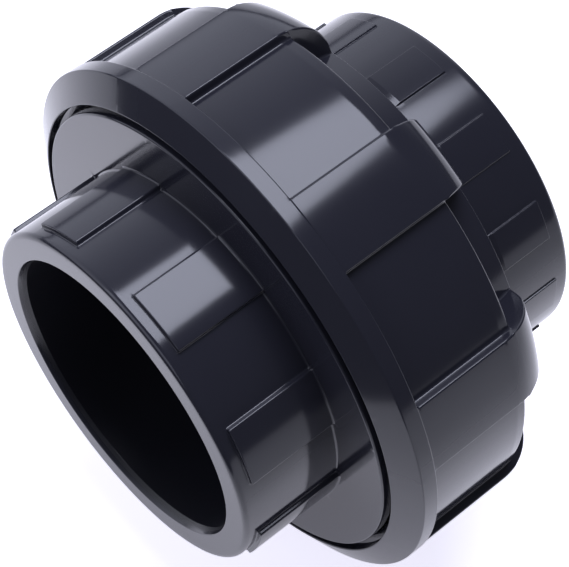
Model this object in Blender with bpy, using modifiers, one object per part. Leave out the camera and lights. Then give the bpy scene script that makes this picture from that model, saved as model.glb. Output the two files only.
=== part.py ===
"""Pipe union in moulded PVC-U for 90 mm solvent-weld pipe.

Four pieces on one axis: a threaded end with a pipe socket, a tailpiece with a
flange and a pipe socket, the union nut that draws them together, and the
O-ring between their faces.

Each piece is drawn about its own +Z, with z measured from the threaded end's
mouth. The empty "union_axis" lays that axis along world +X, with the middle of
the union at the world origin. An angle counts from the direction that points
down when the union lies on the nut.
"""

from math import cos, pi, radians, sin

import bmesh
import bpy

MM = 0.001

# Pipe sockets, the same at both ends
SOCKET_BORE_R = 45.0 * MM  # 90 mm pipe
SOCKET_DEPTH = 51.0 * MM
SOCKET_WALL = 9.4 * MM
STOP_STEP = 4.5 * MM  # ledge that the pipe's end meets
MOUTH_CHAMFER_R = 1.0 * MM
MOUTH_CHAMFER_Z = 2.5 * MM
RIM_ROUND = 1.6 * MM  # outer edge of each socket's face

# Fits
FACE_GAP = 0.3 * MM  # between pieces that bear on each other
NECK_CLEARANCE = 0.7 * MM  # tailpiece neck in the nut's collar
THREAD_CLEARANCE = 0.55 * MM  # radial, root to crest
FLANGE_CLEARANCE = 0.55 * MM  # flange passing inside the nut's thread crest
DISC_CLEARANCE = 2.3 * MM  # radial, disc in the nut's mouth
RING_SIDE_GAP = 0.4 * MM  # O-ring in its groove

# Thread, a trapezoid ridge
THREAD_PITCH = 5.0 * MM
MALE_TURNS = 3.5
NUT_TURNS = 3.0
THREAD_DEPTH = 1.9 * MM
THREAD_BASE = 0.52 * THREAD_PITCH
THREAD_CREST = 0.24 * THREAD_PITCH
THREAD_RUNOUT = 2.0 * MM  # disc to the first ridge's middle
THREAD_LAND = 2.0 * MM  # last ridge's middle to the sealing plane

# Threaded end, outwards from its flow bore
GROOVE_LAND = 7.7 * MM
GROOVE_WIDTH = 5.6 * MM
GROOVE_DEPTH = 4.2 * MM
CORE_LAND = 3.7 * MM
CORE_WIDTH = 8.5 * MM  # moulding core between the groove and the thread
CORE_FLOOR = 3.5 * MM  # core's floor above the back of the disc
THREAD_WALL = 4.4 * MM
DISC_LIP = 0.4 * MM  # disc beyond the thread's crest
DISC_THICKNESS = 3.75 * MM
DISC_ROUND = 0.6 * MM
JUNCTION_FILLET = 1.5 * MM
SEAL_WALL = 7.0 * MM  # pipe stop to the sealing plane
NEAR_PAD_COUNT = 8
NEAR_PAD_WIDTH = 19.8  # degrees
NEAR_PAD_ANGLE = 14.5
NEAR_PAD_HEIGHT = 1.5 * MM
NEAR_PAD_SETBACK = 4.2 * MM
NEAR_PAD_BEVEL = 0.3 * MM

# Tailpiece
FLANGE_THICKNESS = 11.55 * MM
TAIL_WALL = 12.0 * MM  # sealing plane to the pipe stop
NECK_STEP = 3.9 * MM  # neck beyond the socket's outside
NECK_SHOW = 0.8 * MM  # neck standing out of the nut
NECK_TAPER = 4.6 * MM
FAR_PAD_COUNT = 12
FAR_PAD_WIDTH = 13.3
FAR_PAD_ANGLE = 26.4
FAR_PAD_HEIGHT = 0.6 * MM
FAR_PAD_SETBACK = 5.4 * MM
FAR_PAD_GAP = 1.2 * MM  # pads to the taper

# Nut
NUT_WALL = 10.65 * MM  # thread root to the band
NUT_SETBACK = 0.5 * MM  # nut's front behind the disc's front
NUT_MOUTH_DEPTH = 3.3 * MM
NUT_MOUTH_TAPER = 1.0 * MM
NUT_BEVEL_Z = 4.7 * MM
NUT_BAND_Z = 5.0 * MM
NUT_PANEL_DEPTH = 3.0 * MM
NUT_PANEL_STEP = 0.5 * MM
NUT_PANEL_EDGE = 0.6 * MM
NUT_SHOULDER = 8.75 * MM  # seat to the back of the panels
NUT_COLLAR_LENGTH = 12.25 * MM
NUT_COLLAR_WALL = 7.5 * MM
NUT_COLLAR_CHAMFER = 0.8 * MM
LOBE_COUNT = 8
LOBE_WIDTH = 16.3
LOBE_ANGLE = 180.0 / LOBE_COUNT  # a flat panel faces down
LOBE_DROP = 0.25 * MM  # lobe crown below the band

# How far a pad, lobe or ridge runs into the wall it stands on
PAD_SINK = 1.0 * MM
PAD_END_SINK = 0.5 * MM
LOBE_SINK = 1.0 * MM
THREAD_SINK = 0.4 * MM

# Facets
TURN_STEPS = 64
THREAD_STEPS = 36  # each turn
ARC_STEPS = 3
LOBE_ARC_STEPS = 8
NEAR_PAD_STEPS = 4
FAR_PAD_STEPS = 3
LOBE_STEPS = 4
RING_SIDES = 8

# Radii worked out from the sizes above
SOCKET_R = SOCKET_BORE_R + SOCKET_WALL
BORE_R = SOCKET_BORE_R - STOP_STEP
GROOVE_R_INNER = BORE_R + GROOVE_LAND
GROOVE_R_OUTER = GROOVE_R_INNER + GROOVE_WIDTH
CORE_R_INNER = GROOVE_R_OUTER + CORE_LAND
CORE_R_OUTER = CORE_R_INNER + CORE_WIDTH
MALE_ROOT_R = CORE_R_OUTER + THREAD_WALL
MALE_CREST_R = MALE_ROOT_R + THREAD_DEPTH
DISC_R = MALE_CREST_R + DISC_LIP
NUT_CREST_R = MALE_ROOT_R + THREAD_CLEARANCE
NUT_ROOT_R = NUT_CREST_R + THREAD_DEPTH
NUT_MOUTH_R = DISC_R + DISC_CLEARANCE
NUT_BAND_R = NUT_ROOT_R + NUT_WALL
PANEL_R = NUT_BAND_R - NUT_PANEL_DEPTH
LOBE_R = NUT_BAND_R - LOBE_DROP
FLANGE_R = NUT_CREST_R - FLANGE_CLEARANCE
NECK_R = SOCKET_R + NECK_STEP
COLLAR_BORE_R = NECK_R + NECK_CLEARANCE
COLLAR_R = COLLAR_BORE_R + NUT_COLLAR_WALL

# Stations along the axis
SEAL_PLANE_Z = SOCKET_DEPTH + SEAL_WALL
END_FACE_Z = SEAL_PLANE_Z - FACE_GAP / 2
THREAD_END_Z = SEAL_PLANE_Z - THREAD_LAND
THREAD_START_Z = THREAD_END_Z - THREAD_PITCH * MALE_TURNS
DISC_BACK_Z = THREAD_START_Z - THREAD_RUNOUT
DISC_FRONT_Z = DISC_BACK_Z - DISC_THICKNESS
CORE_FLOOR_Z = DISC_BACK_Z + CORE_FLOOR
FLANGE_FACE_Z = SEAL_PLANE_Z + FACE_GAP / 2
FLANGE_BACK_Z = FLANGE_FACE_Z + FLANGE_THICKNESS
TAIL_STOP_Z = SEAL_PLANE_Z + TAIL_WALL
OVERALL_LENGTH = TAIL_STOP_Z + SOCKET_DEPTH
NUT_SEAT_Z = FLANGE_BACK_Z + FACE_GAP
NUT_FRONT_Z = DISC_FRONT_Z + NUT_SETBACK
NUT_RIDGE_Z = NUT_FRONT_Z + NUT_BEVEL_Z
PANEL_START_Z = NUT_RIDGE_Z + NUT_BAND_Z
PANEL_END_Z = NUT_SEAT_Z + NUT_SHOULDER
NUT_BACK_Z = PANEL_END_Z + NUT_COLLAR_LENGTH
NECK_END_Z = NUT_BACK_Z + NECK_SHOW


def arc(center_r, center_z, radius, start, end, steps=ARC_STEPS):
    """Points (r, z) round a centre; 0 degrees points along +r, 90 along +z."""
    points = []
    for i in range(steps + 1):
        angle = radians(start + (end - start) * i / steps)
        points.append((center_r + radius * cos(angle), center_z + radius * sin(angle)))
    return points


def material(name, color, roughness):
    made = bpy.data.materials.new(name)
    made.use_nodes = True
    shader = made.node_tree.nodes["Principled BSDF"]
    shader.inputs["Base Color"].default_value = (*color, 1.0)
    shader.inputs["Roughness"].default_value = roughness
    return made


def new_object(name, mesh, collection, axis):
    obj = bpy.data.objects.new(name, mesh)
    collection.objects.link(obj)
    obj.parent = axis
    return obj


def turned(name, profile, collection, axis):
    """A closed (r, z) outline turned once round the axis."""
    mesh = bpy.data.meshes.new(name)
    count = len(profile)
    edges = [(i, (i + 1) % count) for i in range(count)]
    mesh.from_pydata([(r, 0.0, z) for r, z in profile], edges, [])
    obj = new_object(name, mesh, collection, axis)
    screw = obj.modifiers.new("turn", "SCREW")
    screw.axis = "Z"
    screw.angle = 2 * pi
    screw.steps = TURN_STEPS
    screw.render_steps = TURN_STEPS
    screw.use_merge_vertices = True
    screw.merge_threshold = 1e-6
    screw.use_smooth_shade = True
    return obj


def swept(name, outline, start, sweep, steps, rise, collection, axis):
    """A filled (r, z) outline swept round the axis, rising evenly as it goes."""
    form = bmesh.new()
    turn = radians(start)
    verts = [form.verts.new((r * cos(turn), r * sin(turn), z)) for r, z in outline]
    face = form.faces.new(verts)
    bmesh.ops.spin(
        form,
        geom=[*verts, *face.edges, face],
        cent=(0, 0, 0),
        axis=(0, 0, 1),
        dvec=(0, 0, rise / steps),
        angle=radians(sweep),
        steps=steps,
    )
    bmesh.ops.recalc_face_normals(form, faces=form.faces)
    mesh = bpy.data.meshes.new(name)
    form.to_mesh(mesh)
    form.free()
    return new_object(name, mesh, collection, axis)


def as_tool(obj):
    obj.hide_render = True
    obj.display_type = "WIRE"


def join(body, tool):
    as_tool(tool)
    union = body.modifiers.new("join " + tool.name, "BOOLEAN")
    union.operation = "UNION"
    union.solver = "EXACT"
    union.object = tool


def merged(name, pieces, collection, axis):
    """Separate solids kept in one object, to be joined on as one tool."""
    form = bmesh.new()
    for piece in pieces:
        form.from_mesh(piece.data)
        bpy.data.objects.remove(piece)
    mesh = bpy.data.meshes.new(name)
    form.to_mesh(mesh)
    form.free()
    return new_object(name, mesh, collection, axis)


def pad_ring(name, outline, count, width, first, steps, collection, axis):
    pads = []
    for i in range(count):
        start = first + 360.0 * i / count - width / 2
        pads.append(swept(f"{name}_{i}", outline, start, width, steps, 0.0, collection, axis))
    return merged(name, pads, collection, axis)


def thread_outline(root_r, crest_r, z):
    """Trapezoid section of a ridge, its flanks carried on into the wall it stands on."""
    outward = 1 if crest_r > root_r else -1
    slope = (THREAD_BASE - THREAD_CREST) / 2 / abs(crest_r - root_r)
    wall_r = root_r - outward * THREAD_SINK
    half_foot = THREAD_BASE / 2 + slope * THREAD_SINK
    half_crest = THREAD_CREST / 2
    return [
        (wall_r, z - half_foot),
        (crest_r, z - half_crest),
        (crest_r, z + half_crest),
        (wall_r, z + half_foot),
    ]


def thread(name, root_r, crest_r, z, turns, collection, axis):
    outline = thread_outline(root_r, crest_r, z)
    steps = round(turns * THREAD_STEPS)
    return swept(name, outline, 0.0, 360.0 * turns, steps, THREAD_PITCH * turns, collection, axis)


def threaded_end(parts, tools, axis):
    groove_floor = END_FACE_Z - GROOVE_DEPTH
    fillet_r = SOCKET_R + JUNCTION_FILLET
    fillet_z = DISC_FRONT_Z - JUNCTION_FILLET
    profile = [
        (BORE_R, END_FACE_Z),
        (GROOVE_R_INNER, END_FACE_Z),
        (GROOVE_R_INNER, groove_floor),
        (GROOVE_R_OUTER, groove_floor),
        (GROOVE_R_OUTER, END_FACE_Z),
        (CORE_R_INNER, END_FACE_Z),
        (CORE_R_INNER, CORE_FLOOR_Z),
        (CORE_R_OUTER, CORE_FLOOR_Z),
        (CORE_R_OUTER, END_FACE_Z),
        (MALE_ROOT_R, END_FACE_Z),
        (MALE_ROOT_R, DISC_BACK_Z),
        (DISC_R, DISC_BACK_Z),
        *arc(DISC_R - DISC_ROUND, DISC_FRONT_Z + DISC_ROUND, DISC_ROUND, 0, -90, 2),
        *arc(fillet_r, fillet_z, JUNCTION_FILLET, 90, 180),
        *arc(SOCKET_R - RIM_ROUND, RIM_ROUND, RIM_ROUND, 0, -90),
        (SOCKET_BORE_R + MOUTH_CHAMFER_R, 0.0),
        (SOCKET_BORE_R, MOUTH_CHAMFER_Z),
        (SOCKET_BORE_R, SOCKET_DEPTH),
        (BORE_R, SOCKET_DEPTH),
    ]
    body = turned("threaded_end", profile, parts, axis)

    pad_in = SOCKET_R - PAD_SINK
    pad_out = SOCKET_R + NEAR_PAD_HEIGHT
    pad_end = DISC_FRONT_Z + PAD_END_SINK
    outline = [
        (pad_in, NEAR_PAD_SETBACK),
        (pad_out - NEAR_PAD_BEVEL, NEAR_PAD_SETBACK),
        (pad_out, NEAR_PAD_SETBACK + NEAR_PAD_BEVEL),
        (pad_out, pad_end),
        (pad_in, pad_end),
    ]
    spacing = (NEAR_PAD_COUNT, NEAR_PAD_WIDTH, NEAR_PAD_ANGLE, NEAR_PAD_STEPS)
    join(body, pad_ring("near_pads", outline, *spacing, tools, axis))
    ridge = thread("male_ridge", MALE_ROOT_R, MALE_CREST_R, THREAD_START_Z, MALE_TURNS, tools, axis)
    join(body, ridge)
    return body


def o_ring(parts, axis):
    """Squeezed to the space between the groove's floor and the tailpiece's face."""
    half_z = (GROOVE_DEPTH + FACE_GAP) / 2 - FACE_GAP
    half_r = GROOVE_WIDTH / 2 - RING_SIDE_GAP
    center_z = FLANGE_FACE_Z - FACE_GAP - half_z
    center_r = (GROOVE_R_INNER + GROOVE_R_OUTER) / 2
    profile = []
    for i in range(RING_SIDES):
        angle = -2 * pi * i / RING_SIDES + pi / RING_SIDES
        profile.append((center_r + half_r * cos(angle), center_z + half_z * sin(angle)))
    return turned("o_ring", profile, parts, axis)


def tailpiece(parts, tools, axis):
    taper_end = NECK_END_Z + NECK_TAPER
    profile = [
        (BORE_R, TAIL_STOP_Z),
        (SOCKET_BORE_R, TAIL_STOP_Z),
        (SOCKET_BORE_R, OVERALL_LENGTH - MOUTH_CHAMFER_Z),
        (SOCKET_BORE_R + MOUTH_CHAMFER_R, OVERALL_LENGTH),
        *arc(SOCKET_R - RIM_ROUND, OVERALL_LENGTH - RIM_ROUND, RIM_ROUND, 90, 0),
        (SOCKET_R, taper_end),
        (NECK_R, NECK_END_Z),
        (NECK_R, FLANGE_BACK_Z),
        (FLANGE_R, FLANGE_BACK_Z),
        (FLANGE_R, FLANGE_FACE_Z),
        (BORE_R, FLANGE_FACE_Z),
    ]
    body = turned("tailpiece", profile, parts, axis)

    pad_in = SOCKET_R - PAD_SINK
    pad_out = SOCKET_R + FAR_PAD_HEIGHT
    pad_start = taper_end + FAR_PAD_GAP
    pad_end = OVERALL_LENGTH - FAR_PAD_SETBACK
    outline = [(pad_in, pad_start), (pad_out, pad_start), (pad_out, pad_end), (pad_in, pad_end)]
    spacing = (FAR_PAD_COUNT, FAR_PAD_WIDTH, FAR_PAD_ANGLE, FAR_PAD_STEPS)
    join(body, pad_ring("far_pads", outline, *spacing, tools, axis))
    return body


def lobe_outline():
    """A grip lobe's section: a crown as high as the band, rounded down to the collar."""
    crown_end = NUT_BACK_Z - LOBE_DROP
    fall = LOBE_R - COLLAR_R
    start = PANEL_START_Z - LOBE_SINK / 2
    hold = PANEL_END_Z - LOBE_SINK
    collar_in = COLLAR_R - LOBE_SINK
    panel_in = PANEL_R - 2 * LOBE_SINK
    return [
        (panel_in, start),
        (LOBE_R, start),
        *arc(COLLAR_R, crown_end - fall, fall, 0, 90, LOBE_ARC_STEPS),
        (collar_in, crown_end),
        (collar_in, hold),
        (panel_in, hold),
    ]


def union_nut(parts, tools, axis):
    mouth_end = NUT_FRONT_Z + NUT_MOUTH_DEPTH
    profile = [
        (NUT_MOUTH_R, NUT_FRONT_Z),
        (NUT_MOUTH_R, mouth_end),
        (NUT_ROOT_R, mouth_end + NUT_MOUTH_TAPER),
        (NUT_ROOT_R, NUT_SEAT_Z),
        (COLLAR_BORE_R, NUT_SEAT_Z),
        (COLLAR_BORE_R, NUT_BACK_Z - NUT_COLLAR_CHAMFER),
        (COLLAR_BORE_R + NUT_COLLAR_CHAMFER, NUT_BACK_Z),
        (COLLAR_R - NUT_COLLAR_CHAMFER, NUT_BACK_Z),
        (COLLAR_R, NUT_BACK_Z - NUT_COLLAR_CHAMFER),
        (COLLAR_R, PANEL_END_Z),
        (PANEL_R - NUT_PANEL_EDGE, PANEL_END_Z),
        (PANEL_R, PANEL_END_Z - NUT_PANEL_EDGE),
        (PANEL_R, PANEL_START_Z + NUT_PANEL_STEP),
        (NUT_BAND_R, PANEL_START_Z),
        (NUT_BAND_R, NUT_RIDGE_Z),
    ]
    body = turned("union_nut", profile, parts, axis)
    spacing = (LOBE_COUNT, LOBE_WIDTH, LOBE_ANGLE, LOBE_STEPS)
    join(body, pad_ring("lobes", lobe_outline(), *spacing, tools, axis))
    ridge_z = THREAD_START_Z + THREAD_PITCH / 2
    ridge = thread("nut_ridge", NUT_ROOT_R, NUT_CREST_R, ridge_z, NUT_TURNS, tools, axis)
    join(body, ridge)
    return body


def main():
    for obj in list(bpy.data.objects):
        bpy.data.objects.remove(obj)
    parts = bpy.data.collections.new("pipe_union")
    tools = bpy.data.collections.new("pipe_union_tools")
    for collection in (parts, tools):
        bpy.context.scene.collection.children.link(collection)

    axis = bpy.data.objects.new("union_axis", None)
    parts.objects.link(axis)
    axis.rotation_euler = (0.0, pi / 2, 0.0)
    axis.location = (-OVERALL_LENGTH / 2, 0.0, 0.0)

    made = {
        threaded_end(parts, tools, axis): material("threaded_end_pvc", (0.028, 0.031, 0.045), 0.28),
        tailpiece(parts, tools, axis): material("tailpiece_pvc", (0.028, 0.031, 0.045), 0.28),
        union_nut(parts, tools, axis): material("union_nut_pvc", (0.028, 0.031, 0.045), 0.26),
        o_ring(parts, axis): material("o_ring_epdm", (0.012, 0.012, 0.012), 0.6),
    }
    for obj, finish in made.items():
        obj.data.materials.append(finish)


main()
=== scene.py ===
from math import acos, cos, pi, radians, sin, tan

import bpy
import numpy as np
from mathutils import Matrix, Vector


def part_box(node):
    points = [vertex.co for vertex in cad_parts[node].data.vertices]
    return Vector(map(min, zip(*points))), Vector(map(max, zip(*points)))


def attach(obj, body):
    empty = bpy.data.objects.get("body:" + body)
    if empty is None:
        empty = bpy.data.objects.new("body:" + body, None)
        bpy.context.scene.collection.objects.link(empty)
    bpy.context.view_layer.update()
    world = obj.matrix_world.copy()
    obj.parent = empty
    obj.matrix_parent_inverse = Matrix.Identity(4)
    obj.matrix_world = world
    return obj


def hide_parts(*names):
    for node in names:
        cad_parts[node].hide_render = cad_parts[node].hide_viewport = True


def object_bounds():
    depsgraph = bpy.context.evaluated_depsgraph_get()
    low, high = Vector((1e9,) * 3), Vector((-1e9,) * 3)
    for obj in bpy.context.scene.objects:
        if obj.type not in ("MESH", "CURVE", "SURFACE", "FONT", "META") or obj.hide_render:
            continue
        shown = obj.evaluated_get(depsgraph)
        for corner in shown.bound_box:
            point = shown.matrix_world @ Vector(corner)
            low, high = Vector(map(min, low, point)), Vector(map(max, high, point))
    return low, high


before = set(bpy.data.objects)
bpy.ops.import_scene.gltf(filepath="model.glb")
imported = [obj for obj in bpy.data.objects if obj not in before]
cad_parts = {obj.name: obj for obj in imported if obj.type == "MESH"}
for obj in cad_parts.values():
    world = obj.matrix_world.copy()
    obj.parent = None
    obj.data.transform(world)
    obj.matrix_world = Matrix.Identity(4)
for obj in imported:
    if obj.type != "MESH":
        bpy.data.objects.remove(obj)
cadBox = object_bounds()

print("frame loaded")

mm = 0.001
cornerSteps = 5  # facets in each rounded corner
facetSize = radians(1.1)  # widest facet round the axis
plainFacets = 360  # round a form with no pads
ridgeFacets = 144  # in each turn of a thread
roundShare = 0.4  # most of a pad's height that its roundings take up
straightTurn = 0.01  # radians, below which a corner is left straight
flatRound = 0.8  # of a pad's step, where its end meets the floor's straight run

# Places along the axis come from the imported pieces. Angles round it start at the
# bottom and grow towards the +Y side.
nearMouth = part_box("threaded_end")[0].x
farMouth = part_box("tailpiece")[1].x
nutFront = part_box("union_nut")[0].x
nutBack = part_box("union_nut")[1].x
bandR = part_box("union_nut")[1].y


def unit(v):
    return v / np.linalg.norm(v)


def roundedPath(corners):
    # Closed (x, r) path. A corner is (x, r, rounding, cuts in the run that follows).
    # Every corner gives the same number of points, so two paths can be paired.
    ends = []
    path = []
    for i, (x, r, rounding, cuts) in enumerate(corners):
        here = np.array((x, r))
        back = unit(np.array(corners[i - 1][:2]) - here)
        ahead = unit(np.array(corners[(i + 1) % len(corners)][:2]) - here)
        turn = pi - acos(max(-1.0, min(1.0, float(back @ ahead))))
        if turn < straightTurn:
            arc = [here + back * rounding * (1 - 2 * k / cornerSteps) for k in range(cornerSteps + 1)]
        else:
            centre = here + unit(back + ahead) * rounding / cos(turn / 2)
            first = here + back * rounding * tan(turn / 2) - centre
            last = here + ahead * rounding * tan(turn / 2) - centre
            shares = [k / cornerSteps for k in range(cornerSteps + 1)]
            arc = [centre + (first * sin(turn * (1 - t)) + last * sin(turn * t)) / sin(turn) for t in shares]
        ends.append((arc, cuts))
    for i, (arc, cuts) in enumerate(ends):
        path.extend(arc)
        start, end = arc[-1], ends[(i + 1) % len(ends)][0][0]
        path.extend(start + (end - start) * k / (cuts + 1) for k in range(1, cuts + 1))
    return np.array(path)


def outwardNormals(path):
    # Of a closed (x, r) path, pointing out of the solid whichever way it runs.
    along = np.roll(path, -1, 0) - np.roll(path, 1, 0)
    normals = np.stack([along[:, 1], -along[:, 0]], 1)
    normals /= np.linalg.norm(normals, axis=1)[:, None]
    x, r = path.T
    area = np.sum(x * np.roll(r, -1) - np.roll(x, -1) * r)
    return normals if area > 0 else -normals


def edgeColumns(look):
    # Steps from the floor up a raised pad's side to its crown, as (distance, which
    # surface, height off it): a foot fillet, a drafted wall and a rounded edge.
    foot, edge, draft = look["foot"], look["edge"], look["draft"]
    turns = [pi / 2 * k / cornerSteps for k in range(cornerSteps + 1)]
    up = [(-foot * (1 - sin(t)), "floor", foot * (1 - cos(t))) for t in turns]
    over = [(draft + edge * (1 - cos(t)), "crown", edge * (1 - sin(t))) for t in turns]
    return up + over


def padColumns(look, padR):
    # Every column round the axis: (angle, surface, height off it). The floor and the
    # crowns are cut into even facets between the sides.
    rise = edgeColumns(look)
    columns = []
    pitch = 2 * pi / look["count"]
    half = radians(look["width"]) / 2
    for i in range(look["count"]):
        centre = radians(look["angle"]) + pitch * i
        columns += [(centre - half + d / padR, surface, h) for d, surface, h in rise]
        columns += [(None, "crown", 0.0)]
        columns += [(centre + half - d / padR, surface, h) for d, surface, h in reversed(rise)]
        columns += [(None, "floor", 0.0)]
    whole = []
    for i, (angle, surface, height) in enumerate(columns):
        if angle is not None:
            whole.append((angle, surface, height))
            continue
        start = columns[i - 1][0]
        end = columns[(i + 1) % len(columns)][0]
        gap = (end - start) % (2 * pi)
        cuts = int(gap / facetSize)
        whole += [(start + gap * k / (cuts + 1), surface, 0.0) for k in range(1, cuts + 1)]
    return whole


def latheGrid(floor, crown=None, look=None, padR=1.0):
    # Points of a turned form as (round the axis, along the path, xyz). Where crown
    # leaves floor, it stands up as evenly spaced pads.
    if crown is None:
        columns = [(2 * pi * k / plainFacets, "floor", 0.0) for k in range(plainFacets)]
        crown = floor
    else:
        columns = padColumns(look, padR)
    rise = np.maximum(0.0, np.sum((crown - floor) * outwardNormals(floor), axis=1))
    surfaces = {
        "floor": (floor, outwardNormals(floor)),
        "crown": (crown, -outwardNormals(crown)),
    }
    rounding = max(look["foot"], look["edge"]) if look else 1.0
    room = np.minimum(1.0, roundShare * rise / rounding)[:, None]
    rings = []
    for angle, surface, height in columns:
        path, away = surfaces[surface]
        at = path + away * height * room
        phi = angle - pi / 2
        rings.append(np.stack([at[:, 0], at[:, 1] * cos(phi), at[:, 1] * sin(phi)], 1))
    return np.array(rings)


def helixGrid(section, look, turns):
    # A closed (x, r) section carried round the axis as a thread ridge. Over the fade
    # angle at each end it sinks into its wall.
    pitch, fade = look["pitch"], look["fade"]
    steps = int(turns * ridgeFacets)
    ridge = section[:, 1]
    wall = ridge[0]
    rings = []
    for k in range(steps + 1):
        angle = 2 * pi * turns * k / steps
        ends = min(1.0, angle / fade, (2 * pi * turns - angle) / fade)
        height = ends * ends * (3 - 2 * ends)
        r = wall + (ridge - wall) * height
        phi = angle - pi / 2
        x = section[:, 0] + pitch * turns * k / steps
        rings.append(np.stack([x, r * cos(phi), r * sin(phi)], 1))
    return np.array(rings)


def makePiece(name, grids, body, node, finish):
    # One object of one or more grids, each closed along its path. The first is closed
    # round the axis as well, and a ridge has its two ends capped.
    points, faces = [], []
    offset = 0
    for closed, grid in grids:
        rounds, along = grid.shape[:2]
        index = offset + np.arange(rounds * along).reshape(rounds, along)
        after = np.roll(index, -1, 0) if closed else index[1:]
        before = index if closed else index[:-1]
        quads = np.stack([before, np.roll(before, -1, 1), np.roll(after, -1, 1), after], -1)
        faces += quads.reshape(-1, 4).tolist()
        if not closed:
            faces += [index[0][::-1].tolist(), index[-1].tolist()]
        points.append(grid.reshape(-1, 3))
        offset += rounds * along
    mesh = bpy.data.meshes.new(name)
    mesh.from_pydata(np.concatenate(points).tolist(), [], faces)
    mesh.validate()
    mesh.shade_smooth()
    piece = bpy.data.objects.new(name, mesh)
    bpy.context.scene.collection.objects.link(piece)
    if sum(p.center.dot(p.normal) * p.area for p in mesh.polygons) < 0:  # inside out
        mesh.flip_normals()
    even = piece.modifiers.new("even shading", "WEIGHTED_NORMAL")
    even.weight = 100
    even.keep_sharp = False
    mesh.materials.append(finish)
    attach(piece, body)
    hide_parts(node)
    print(name, "built,", len(mesh.polygons), "faces")


class Link:
    # A shader socket that takes part in sums, each adding its Math node.
    def __init__(self, finish, socket):
        self.finish = finish
        self.socket = socket

    def sum(self, operation, first, second):
        return self.finish.node("ShaderNodeMath", {"operation": operation}, {0: first, 1: second})

    def __add__(self, other):
        return self.sum("ADD", self, other)

    def __radd__(self, other):
        return self.sum("ADD", other, self)

    def __sub__(self, other):
        return self.sum("SUBTRACT", self, other)

    def __rsub__(self, other):
        return self.sum("SUBTRACT", other, self)

    def __mul__(self, other):
        return self.sum("MULTIPLY", self, other)

    def __rmul__(self, other):
        return self.sum("MULTIPLY", other, self)


class Nodes:
    # The nodes of one tree: what a socket is given is a value or a link.
    def __init__(self, tree):
        self.tree = tree

    def feed(self, socket, value):
        if isinstance(value, Link):
            self.tree.links.new(value.socket, socket)
        else:
            socket.default_value = value

    def node(self, kind, settings, inputs, output=0):
        made = self.tree.nodes.new(kind)
        for key, value in settings.items():
            setattr(made, key, value)
        for key, value in inputs.items():
            self.feed(made.inputs[key], value)
        return Link(self, made.outputs[output])

    def mix(self, factor, first, second, blend="MIX"):
        settings = {"data_type": "RGBA", "blend_type": blend}
        return self.node("ShaderNodeMix", settings, {"Factor": factor, 6: first, 7: second}, 2)

    def noise(self, place, size, detail=2.0):
        inputs = {"Vector": place, "Scale": 1 / size, "Detail": detail}
        return self.node("ShaderNodeTexNoise", {}, inputs, "Fac")

    def distance(self, place, centre):
        return self.node("ShaderNodeVectorMath", {"operation": "DISTANCE"}, {0: place, 1: centre}, "Value")

    def ramp(self, value, start, end, first, last, smooth=False):
        settings = {"interpolation_type": "SMOOTHSTEP" if smooth else "LINEAR"}
        return self.node("ShaderNodeMapRange", settings, {0: value, 1: start, 2: end, 3: first, 4: last})


class Finish(Nodes):
    # A material, built round its Principled shader.
    def __init__(self, name):
        self.material = bpy.data.materials.new(name)
        self.material.use_nodes = True
        super().__init__(self.material.node_tree)

    def surface(self, **inputs):
        shader = self.tree.nodes["Principled BSDF"]
        for key, value in inputs.items():
            self.feed(shader.inputs[key.replace("_", " ")], value)
        return self.material


plasticLook = {
    "color": (0.0222, 0.0224, 0.0318, 1.0),
    "paleColor": (0.0262, 0.0264, 0.0368, 1.0),
    "roughness": 0.105,
    "cloudRoughness": 0.04,
    "boreR": 45.6 * mm,  # the core side of the mould is duller; inside it the colour is also darkened, as painted shade
    "boreFade": 0.3 * mm,
    "paintedBoreShade": (0.45, 0.45, 0.45, 1.0),
    "boreRoughness": 0.18,
    "cloudSize": 30 * mm,  # slow change of colour and gloss
    "peelSize": 2.4 * mm,  # fine ripple left by the mould
    "peelHeight": 0.0025 * mm,
    "grainSize": 0.3 * mm,
    "grainHeight": 0.00025 * mm,
    "ior": 1.53,
}


def mouldedPlastic(name, look, shift):
    finish = Finish(name)
    place = finish.node("ShaderNodeTexCoord", {}, {}, "Object")
    moved = finish.node("ShaderNodeVectorMath", {"operation": "ADD"}, {0: place, 1: shift})
    cloud = finish.noise(moved, look["cloudSize"])
    peel = finish.noise(moved, look["peelSize"], 1.0)
    grain = finish.noise(moved, look["grainSize"], 1.0)
    across = finish.node("ShaderNodeVectorMath", {"operation": "MULTIPLY"}, {0: place, 1: (0.0, 1.0, 1.0)})
    radius = finish.distance(across, (0.0, 0.0, 0.0))
    boreR, fade = look["boreR"], look["boreFade"]
    inside = finish.ramp(radius, boreR - fade, boreR + fade, 1.0, 0.0, smooth=True)
    color = finish.mix(cloud, look["color"], look["paleColor"])
    # Painted shade: the colour is darkened inside the bore.
    color = finish.mix(inside, color, look["paintedBoreShade"], "MULTIPLY")
    relief = peel * look["peelHeight"] + grain * look["grainHeight"]
    bump = finish.node("ShaderNodeBump", {}, {"Height": relief, "Distance": 1.0})
    roughness = look["roughness"] + look["cloudRoughness"] * cloud + look["boreRoughness"] * inside
    return finish.surface(Base_Color=color, Roughness=roughness, Normal=bump, IOR=look["ior"])


rubberLook = {
    "color": (0.010, 0.010, 0.010, 1.0),
    "bloom": (0.030, 0.030, 0.031, 1.0),
    "grainSize": 0.5 * mm,
    "grainHeight": 0.01 * mm,
    "cloudSize": 1000 / 90 * mm,
    "roughness": 0.5,
    "cloudRoughness": 0.15,
    "ior": 1.5,
}


def sealRubber(name, look):
    finish = Finish(name)
    place = finish.node("ShaderNodeTexCoord", {}, {}, "Object")
    grain = finish.noise(place, look["grainSize"])
    cloud = finish.noise(place, look["cloudSize"])
    color = finish.mix(cloud, look["color"], look["bloom"])
    bump = finish.node("ShaderNodeBump", {}, {"Height": grain * look["grainHeight"], "Distance": 1.0})
    roughness = look["roughness"] + look["cloudRoughness"] * cloud
    return finish.surface(Base_Color=color, Roughness=roughness, Normal=bump, IOR=look["ior"])


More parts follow.
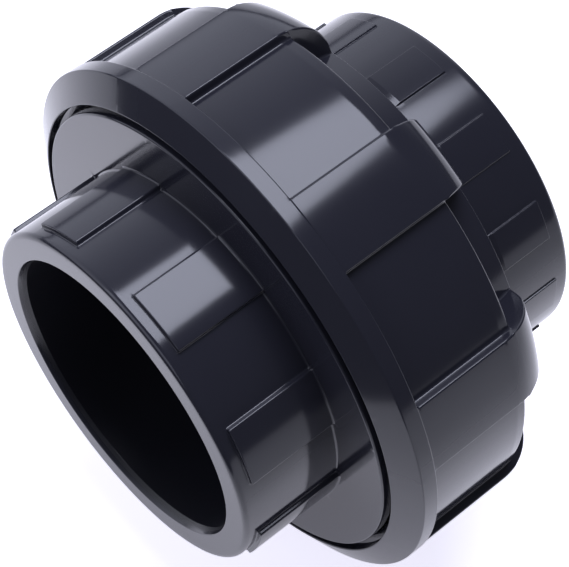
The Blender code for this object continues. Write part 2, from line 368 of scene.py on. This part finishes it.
# The threaded end: pipe socket, disc, thread ring, moulding core and O-ring groove.
# Distances along it are from its mouth.
threadedEnd = {
    "socketR": 54.4 * mm,
    "pipeR": 45.0 * mm,
    "pipeDepth": 51.0 * mm,
    "boreR": 40.5 * mm,
    "leadIn": (1.0 * mm, 2.5 * mm),  # wider, deep
    "rimRound": 1.6 * mm,
    "discFront": 32.75 * mm,
    "discBack": 36.5 * mm,
    "discR": 72.7 * mm,
    "discFillet": 0.6 * mm,
    "discRound": (0.6 * mm, 0.4 * mm),  # front edge, back edge
    "ringR": 70.4 * mm,
    "ringRound": (0.5 * mm, 0.8 * mm),  # at the disc, at the end
    "endFace": 57.85 * mm,
    "coreR": (57.5 * mm, 66.0 * mm),
    "coreFloor": 40.0 * mm,
    "coreRound": (0.4 * mm, 1.2 * mm),  # at the face, at the floor
    "grooveR": (48.2 * mm, 53.8 * mm),
    "grooveFloor": 53.65 * mm,
    "grooveRound": (0.25 * mm, 0.4 * mm),
}
# Roundings that the two sockets share.
socketEdges = {
    "mouth": 0.35 * mm,
    "leadIn": 0.6 * mm,
    "stopCorner": 0.8 * mm,
    "stopEdge": 0.5 * mm,
    "boreEnd": 0.6 * mm,
}
nearPads = {
    "count": 8,
    "width": 19.8,  # degrees
    "angle": 14.5,
    "height": 1.5 * mm,
    "setback": 4.2 * mm,
    "step": 0.35 * mm,  # rounding of the front edge
    "edge": 0.5 * mm,
    "foot": 0.6 * mm,
    "draft": 0.08 * mm,
}
thread = {
    "pitch": 5.0 * mm,
    "depth": 1.9 * mm,
    "base": 2.6 * mm,
    "crest": 1.2 * mm,
    "edge": 0.25 * mm,
    "firstRidge": 38.5 * mm,  # from the threaded end's mouth
    "maleTurns": 3.5,
    "nutTurns": 3.0,
    "sink": 0.5 * mm,  # into the wall
    "sunkRound": 0.02 * mm,
    "rootRound": 0.05 * mm,
    "fade": radians(24),
}


def ridgeSection(rootR, crestR, x):
    out = 1 if crestR > rootR else -1
    wall = rootR - out * thread["sink"]
    foot, crest = thread["base"] / 2, thread["crest"] / 2
    edge, low, root = thread["edge"], thread["sunkRound"], thread["rootRound"]
    return roundedPath([
        (x - foot, wall, low, 2),
        (x - foot, rootR, root, 2),
        (x - crest, crestR, edge, 2),
        (x + crest, crestR, edge, 2),
        (x + foot, rootR, root, 2),
        (x + foot, wall, low, 2),
    ])


def threadedEndPaths():
    # From the pads' front edge back to the disc, over the ring, through the bore and
    # round the mouth.
    s, edges = threadedEnd, socketEdges
    step, flatter = nearPads["step"], flatRound * nearPads["step"]
    top = s["socketR"] + nearPads["height"]
    front = nearPads["setback"]
    wider, deep = s["leadIn"]
    coreIn, coreOut = s["coreR"]
    coreLip, coreCorner = s["coreRound"]
    grooveIn, grooveOut = s["grooveR"]
    grooveLip, grooveCorner = s["grooveRound"]
    rest = [
        (s["discFront"], s["discR"], s["discRound"][0], 3),
        (s["discBack"], s["discR"], s["discRound"][1], 1),
        (s["discBack"], s["ringR"], s["ringRound"][0], 12),
        (s["endFace"], s["ringR"], s["ringRound"][1], 1),
        (s["endFace"], coreOut, coreLip, 6),
        (s["coreFloor"], coreOut, coreCorner, 2),
        (s["coreFloor"], coreIn, coreCorner, 6),
        (s["endFace"], coreIn, coreLip, 1),
        (s["endFace"], grooveOut, grooveLip, 1),
        (s["grooveFloor"], grooveOut, grooveCorner, 1),
        (s["grooveFloor"], grooveIn, grooveCorner, 1),
        (s["endFace"], grooveIn, grooveLip, 2),
        (s["endFace"], s["boreR"], edges["boreEnd"], 2),
        (s["pipeDepth"], s["boreR"], edges["stopEdge"], 1),
        (s["pipeDepth"], s["pipeR"], edges["stopCorner"], 16),
        (deep, s["pipeR"], edges["leadIn"], 1),
        (0.0, s["pipeR"] + wider, edges["mouth"], 4),
        (0.0, s["socketR"], s["rimRound"], 1),
    ]
    floor = [
        (front - step, s["socketR"], flatter, 0),
        (front + step, s["socketR"], flatter, 12),
        (s["discFront"], s["socketR"], s["discFillet"], 6),
        *rest,
    ]
    crown = [
        (front, s["socketR"], step, 0),
        (front, top, step, 12),
        (s["discFront"], top, s["discFillet"], 6),
        *rest,
    ]
    return roundedPath(floor), roundedPath(crown)


def fromMouth(path):
    return path + np.array((nearMouth, 0.0))


endPlastic = mouldedPlastic("threadedEndPlastic", plasticLook, (0.0, 0.0, 0.0))
tailPlastic = mouldedPlastic("tailpiecePlastic", plasticLook, (0.31, 0.12, 0.05))
nutPlastic = mouldedPlastic("nutPlastic", plasticLook, (0.07, 0.43, 0.22))
rubber = sealRubber("sealRubber", rubberLook)
print("finishes ready")

floorPath, crownPath = threadedEndPaths()
maleRoot = threadedEnd["ringR"]
maleRidge = ridgeSection(maleRoot, maleRoot + thread["depth"], thread["firstRidge"])
makePiece(
    "threadedEndPiece",
    [
        (True, latheGrid(fromMouth(floorPath), fromMouth(crownPath), nearPads, threadedEnd["socketR"])),
        (False, helixGrid(fromMouth(maleRidge), thread, thread["maleTurns"])),
    ],
    "threaded_body",
    "threaded_end",
    endPlastic,
)

# The tailpiece: pipe socket, shouldered neck and flange. Distances along it are from
# the threaded end's mouth, as for the piece it meets.
tailpiece = {
    "length": farMouth - nearMouth,
    "socketR": 54.4 * mm,
    "pipeR": 45.0 * mm,
    "pipeStop": 70.0 * mm,
    "boreR": 40.5 * mm,
    "leadIn": (1.0 * mm, 2.5 * mm),
    "rimRound": 1.6 * mm,
    "shoulder": 94.6 * mm,
    "neckEnd": 90.0 * mm,
    "neckR": 58.3 * mm,
    "flangeBack": 69.7 * mm,
    "flangeFace": 58.15 * mm,
    "flangeR": 70.4 * mm,
    "flangeRound": (0.6 * mm, 0.5 * mm),  # at the face, at the back
    "neckRound": (0.6 * mm, 2.5 * mm, 1.5 * mm),  # at the flange, its end, the socket
}
farPads = {
    "count": 12,
    "width": 13.3,
    "angle": 26.4,
    "height": 0.6 * mm,
    "span": (97.6 * mm, 115.6 * mm),
    "step": 0.2 * mm,  # rounding of the back edge
    "ramp": 1.2 * mm,  # half the length of the soft front
    "rampRound": 1.1 * mm,
    "edge": 0.26 * mm,
    "foot": 0.3 * mm,
    "draft": 0.05 * mm,
}


def tailpiecePaths():
    s, edges = tailpiece, socketEdges
    step, flatter = farPads["step"], flatRound * farPads["step"]
    low, high = farPads["span"]
    ramp, soft = farPads["ramp"], farPads["rampRound"]
    top = s["socketR"] + farPads["height"]
    wider, deep = s["leadIn"]
    flangeFront, flangeRear = s["flangeRound"]
    neckRoot, neckEnd, neckFoot = s["neckRound"]
    rest = [
        (s["length"], s["socketR"], s["rimRound"], 4),
        (s["length"], s["pipeR"] + wider, edges["mouth"], 1),
        (s["length"] - deep, s["pipeR"], edges["leadIn"], 16),
        (s["pipeStop"], s["pipeR"], edges["stopCorner"], 1),
        (s["pipeStop"], s["boreR"], edges["stopEdge"], 4),
        (s["flangeFace"], s["boreR"], edges["boreEnd"], 8),
        (s["flangeFace"], s["flangeR"], flangeFront, 4),
        (s["flangeBack"], s["flangeR"], flangeRear, 4),
        (s["flangeBack"], s["neckR"], neckRoot, 8),
        (s["neckEnd"], s["neckR"], neckEnd, 1),
        (s["shoulder"], s["socketR"], neckFoot, 1),
    ]
    floor = [
        (low - ramp, s["socketR"], soft, 0),
        (low + ramp, s["socketR"], soft, 10),
        (high - step, s["socketR"], flatter, 0),
        (high + step, s["socketR"], flatter, 2),
        *rest,
    ]
    crown = [
        (low - ramp, s["socketR"], soft, 0),
        (low + ramp, top, soft, 10),
        (high, top, step, 0),
        (high, s["socketR"], step, 2),
        *rest,
    ]
    return roundedPath(floor), roundedPath(crown)


floorPath, crownPath = tailpiecePaths()
makePiece(
    "tailpiecePiece",
    [(True, latheGrid(fromMouth(floorPath), fromMouth(crownPath), farPads, tailpiece["socketR"]))],
    "tail_body",
    "tailpiece",
    tailPlastic,
)

# The union nut: bevelled mouth, round band, panels with grip lobes, and a collar.
# Distances along it are from its front.
unionNut = {
    "mouthR": 75.0 * mm,
    "mouthDepth": 3.3 * mm,
    "mouthTaper": 1.0 * mm,
    "mouthRound": 0.3 * mm,
    "bevel": 4.7 * mm,
    "band": 5.0 * mm,
    "bandRound": (0.5 * mm, 0.4 * mm),  # front edge, back edge
    "panelR": 80.5 * mm,
    "panelSlope": 0.5 * mm,  # length of the step down from the band
    "panelFoot": 0.45 * mm,
    "panelEnd": 45.5 * mm,
    "panelDrop": 0.3 * mm,  # in the last stretch before the end
    "panelLast": 3.5 * mm,
    "panelSag": 12 * mm,
    "endRound": 0.9 * mm,
    "seat": 36.75 * mm,
    "seatRound": 0.6 * mm,
    "rootR": 72.85 * mm,
    "rootRound": 0.4 * mm,
    "collarR": 66.5 * mm,
    "collarRise": 2.6 * mm,  # towards the panels
    "collarBoreR": 59.0 * mm,
    "collarRound": (0.3 * mm, 0.7 * mm),  # outer edge, bore edge
    "length": nutBack - nutFront,
}
lobes = {
    "count": 8,
    "width": 16.3,
    "angle": 22.5,
    "crownR": 83.25 * mm,
    "roundStart": 40.75 * mm,  # where the crown starts to round down to the collar
    "runUp": 4 * mm,  # straight crown before that, paired with the panel's end
    "landing": 0.8 * mm,  # below the collar, at its back edge
    "arcPoints": 33,
    "edge": 0.6 * mm,
    "foot": 0.8 * mm,
    "draft": 0.12 * mm,
}


def runLengths(path):
    # How far along the path each of its points is.
    return np.concatenate([[0], np.cumsum(np.linalg.norm(np.diff(path, axis=0), axis=1))])


def lobeCrown(path):
    # The crown's place for each point of the nut's path: straight over the panel, then
    # a quarter round that lands on the collar's back edge.
    s = unionNut
    start, crownR = lobes["roundStart"], lobes["crownR"]
    fall = crownR - s["collarR"]
    low = s["collarR"] - lobes["landing"]
    away = start - lobes["runUp"]
    turns = np.linspace(0, pi / 2, lobes["arcPoints"])
    arc = [(start + fall * sin(t), s["collarR"] + fall * cos(t)) for t in turns]
    target = np.array([(away, crownR), *arc, (s["length"], low)])
    crown = path.copy()
    x, r = path.T
    afterBand = x > s["bevel"] + s["band"] - s["bandRound"][1]
    onPanel = afterBand & (x < away) & (r > (s["rootR"] + s["panelR"]) / 2)
    crown[onPanel, 1] = np.maximum(r[onPanel], crownR)
    rear = np.flatnonzero((x >= away) & (r > low))
    share = runLengths(path[rear])
    targetRun = runLengths(target)
    share *= targetRun[-1] / share[-1]
    crown[rear, 0] = np.interp(share, targetRun, target[:, 0])
    crown[rear, 1] = np.interp(share, targetRun, target[:, 1])
    return crown


def nutPath():
    s = unionNut
    bandEnd = s["bevel"] + s["band"]
    panelEnd, endRound = s["panelEnd"], s["endRound"]
    return roundedPath([
        (0.0, s["mouthR"], s["mouthRound"], 3),
        (s["bevel"], bandR, s["bandRound"][0], 2),
        (bandEnd, bandR, s["bandRound"][1], 1),
        (bandEnd + s["panelSlope"], s["panelR"], s["panelFoot"], 24),
        (panelEnd - s["panelLast"], s["panelR"], s["panelSag"], 3),
        (panelEnd, s["panelR"] - s["panelDrop"], endRound, 10),
        (panelEnd, s["collarR"] + s["collarRise"], endRound, 12),
        (s["length"], s["collarR"], s["collarRound"][0], 4),
        (s["length"], s["collarBoreR"], s["collarRound"][1], 8),
        (s["seat"], s["collarBoreR"], s["seatRound"], 4),
        (s["seat"], s["rootR"], s["seatRound"], 14),
        (s["mouthDepth"] + s["mouthTaper"], s["rootR"], s["rootRound"], 1),
        (s["mouthDepth"], s["mouthR"], s["mouthRound"], 1),
    ])


def fromNutFront(path):
    return path + np.array((nutFront, 0.0))


floorPath = nutPath()
crownPath = lobeCrown(floorPath)
nutRoot = unionNut["rootR"]
ridgeX = thread["firstRidge"] + thread["pitch"] / 2
nutRidge = ridgeSection(nutRoot, nutRoot - thread["depth"], ridgeX)
makePiece(
    "unionNutPiece",
    [
        (True, latheGrid(fromNutFront(floorPath), fromNutFront(crownPath), lobes, lobes["crownR"])),
        (False, helixGrid(fromMouth(nutRidge), thread, thread["nutTurns"])),
    ],
    "nut_body",
    "union_nut",
    nutPlastic,
)

# The O-ring, squeezed in its groove.
sealRing = {
    "centre": (55.9 * mm, 51.0 * mm),
    "half": (1.93 * mm, 2.38 * mm),
    "squareness": 2.6,
    "points": 48,
}


def ringPath():
    (cx, cr), (hx, hr) = sealRing["centre"], sealRing["half"]
    power = 2 / sealRing["squareness"]
    points = sealRing["points"]
    path = []
    for k in range(points):
        t = 2 * pi * k / points
        c, s = cos(t), sin(t)
        x = hx * abs(s) ** power * (1 if s > 0 else -1)
        r = hr * abs(c) ** power * (1 if c > 0 else -1)
        path.append((cx + x, cr + r))
    return np.array(path)


makePiece(
    "sealRingPiece",
    [(True, latheGrid(fromMouth(ringPath())))],
    "threaded_body",
    "o_ring",
    rubber,
)

# The studio: a pale light table just under the nut, a dim room with a backdrop, soft
# boxes and the camera. Distances are in metres.
table = {
    "color": (0.93, 0.925, 0.90, 1.0),
    "span": ((-0.25, 1.0), (-1.5, 1.4)),
    "gap": 0.2 * mm,  # below the nut
    "cloudSize": 1 / 3,
    "roughness": 0.6,
    "cloudRoughness": 0.1,
    "glowColor": (0.86, 0.84, 0.98, 1.0),
    "glow": 0.86,  # brightest under the work
    "glowCentre": (0.05, 0.08, -0.084),
    "glowReach": (0.14, 0.42),
    "glowFar": 0.3,
    "paintedShadowReach": (0.09, 0.16),  # painted shadow of the work in the glow, from the middle
    "paintedShadow": 0.45,
}


def makeFloor(look):
    # The table's glow, as it lights the work and shows in its gloss, is a painted pool of light with a
    # painted shadow of the work in it. Seen directly it is evenly pale.
    finish = Finish("paleFloor")
    place = finish.node("ShaderNodeTexCoord", {}, {}, "Object")
    cloud = finish.noise(place, look["cloudSize"])
    away = finish.distance(place, look["glowCentre"])
    under = finish.distance(place, (0.0, 0.0, 0.0))
    seen = finish.node("ShaderNodeLightPath", {}, {}, "Is Camera Ray")
    # Painted light: a pool of glow round the glow centre, darkened near the middle as a painted shadow of
    # the work.
    paintedLightPool = finish.ramp(away, *look["glowReach"], 1.0, look["glowFar"], smooth=True)
    paintedShadow = finish.ramp(under, *look["paintedShadowReach"], look["paintedShadow"], 1.0)
    finish.surface(
        Base_Color=look["color"],
        Roughness=look["roughness"] + look["cloudRoughness"] * cloud,
        Emission_Color=finish.mix(paintedLightPool * paintedShadow * (1 - seen) + seen, (0.0, 0.0, 0.0, 1.0), look["glowColor"]),
        Emission_Strength=look["glow"],
    )
    low = cadBox[0].z - look["gap"]
    (left, right), (front, back) = look["span"]
    corners = [(left, front, low), (right, front, low), (right, back, low), (left, back, low)]
    mesh = bpy.data.meshes.new("studioFloor")
    mesh.from_pydata(corners, [], [(0, 1, 2, 3)])
    mesh.materials.append(finish.material)
    floor = bpy.data.objects.new("studioFloor", mesh)
    bpy.context.scene.collection.objects.link(floor)


# How the room brightens towards the +Y side, by the parts of a direction.
room = {
    "color": (0.83, 0.86, 1.0, 1.0),
    "air": 0.07,
    "backGlow": 1.0,
    "back": (0.0, 0.6),  # along Y, from dark to bright
    "fall": (0.4, 0.9),  # along Z, from bright to the top glow
    "topGlow": 0.15,
    "horizon": (-0.06, 0.0),  # along Z, from dark to bright
    "backdrop": 1.25,  # seen directly, the same all over
}


def makeAir(look):
    world = bpy.data.worlds.new("studioAir")
    world.use_nodes = True
    air = Nodes(world.node_tree)
    way = air.node("ShaderNodeTexCoord", {}, {}, "Generated")
    back = air.node("ShaderNodeSeparateXYZ", {}, {0: way}, "Y")
    height = air.node("ShaderNodeSeparateXYZ", {}, {0: way}, "Z")
    across = air.ramp(back, *look["back"], 0.0, 1.0, smooth=True)
    fall = air.ramp(height, *look["fall"], 1.0, look["topGlow"])
    above = air.ramp(height, *look["horizon"], 0.0, 1.0)
    glow = look["air"] + look["backGlow"] * across * fall * above
    seen = air.node("ShaderNodeLightPath", {}, {}, "Is Camera Ray")
    background = world.node_tree.nodes["Background"]
    air.feed(background.inputs["Color"], look["color"])
    air.feed(background.inputs["Strength"], glow * (1 - seen) + look["backdrop"] * seen)
    bpy.context.scene.world = world


# Each soft box: direction, distance, size and the brightness of its face. The key is
# the one whose shape shows in the gloss along the top.
softBoxes = {
    "keyBox": {
        "shape": "DISK",
        "azimuth": 121,
        "elevation": 78,
        "distance": 1.5,
        "size": (1.02, 1.02),
        "glow": 6.7,
    },
    "leftBox": {
        "shape": "RECTANGLE",
        "azimuth": -95,
        "elevation": 30,
        "distance": 1.0,
        "size": (0.9, 0.6),
        "glow": 1.1,
    },
}
lampColor = (0.80, 0.83, 1.0)


def directionTo(look):
    a, e = radians(look["azimuth"]), radians(look["elevation"])
    return Vector((sin(a) * cos(e), -cos(a) * cos(e), sin(e)))


def makeSoftBox(name, look):
    light = bpy.data.lights.new(name, "AREA")
    light.shape = look["shape"]
    light.size, light.size_y = look["size"]
    light.color = lampColor
    face = look["size"][0] * look["size"][1] * (pi / 4 if light.shape == "DISK" else 1)
    light.energy = look["glow"] * face * pi
    box = bpy.data.objects.new(name, light)
    bpy.context.scene.collection.objects.link(box)
    back = directionTo(look)
    aim = back.to_track_quat("Z", "Y").to_matrix()
    box.matrix_world = Matrix.Translation(back * look["distance"]) @ aim.to_4x4()


cameraPlace = {
    "azimuth": -42.184,
    "elevation": 57.424,
    "roll": 1.58,
    "distance": 0.65218,
    "aim": (-0.29 * mm, -0.56 * mm, -0.39 * mm),
    "lens": 143.54,
    "sensor": 36.0,
    "nearest": 0.01,
}


def makeCamera(look):
    camera = bpy.data.cameras.new("camera")
    camera.lens = look["lens"]
    camera.sensor_width = look["sensor"]
    camera.clip_start = look["nearest"]
    holder = bpy.data.objects.new("camera", camera)
    bpy.context.scene.collection.objects.link(holder)
    back = directionTo(look)
    level = back.to_track_quat("Z", "Y").to_matrix()
    turned = level @ Matrix.Rotation(radians(look["roll"]), 3, "Z")
    at = Vector(look["aim"]) + back * look["distance"]
    holder.matrix_world = Matrix.Translation(at) @ turned.to_4x4()
    bpy.context.scene.camera = holder


makeFloor(table)
makeAir(room)
for name, look in softBoxes.items():
    makeSoftBox(name, look)
makeCamera(cameraPlace)
bpy.context.scene.view_settings.view_transform = "Standard"
print("studio ready")
